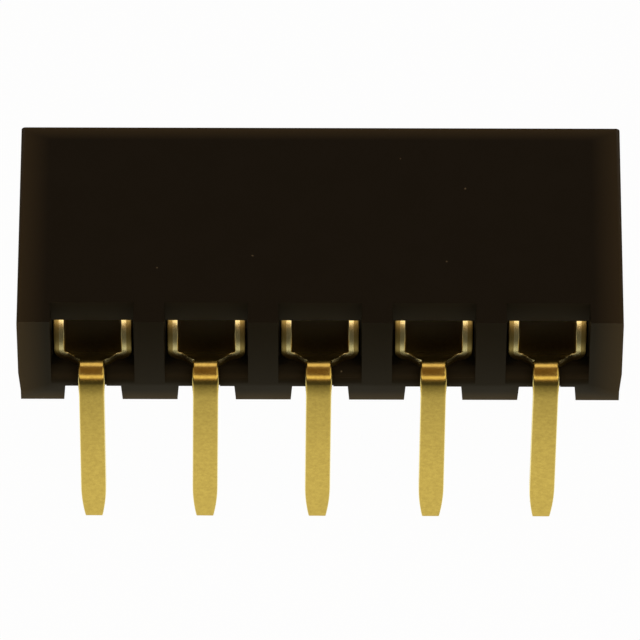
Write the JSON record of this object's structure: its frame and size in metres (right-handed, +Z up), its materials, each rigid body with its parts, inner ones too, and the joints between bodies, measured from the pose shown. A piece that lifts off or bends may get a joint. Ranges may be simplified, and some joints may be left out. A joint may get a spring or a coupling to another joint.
{
  "type": "female pin header strip",
  "caption": "Low-profile right-angle female header strip with a black housing and gold dual-beam contacts.",
  "frame": {"origin": "on the board plane, in the middle of the row of tails", "axes": "+X along the row, +Y towards the mating face, +Z up from the board; the tails point along -Z"},
  "size_m": [0.0106, 0.0046, 0.0054],
  "materials": {
    "housing_plastic": "moulded, satin black",
    "contact_plating": "thin gold over nickel on stamped copper alloy"
  },
  "bodies": {
    "root": {"housing": "housing_plastic", "contact_1": "contact_plating", "contact_2": "contact_plating", "contact_3": "contact_plating", "contact_4": "contact_plating", "contact_5": "contact_plating"}
  },
  "joints": []
}
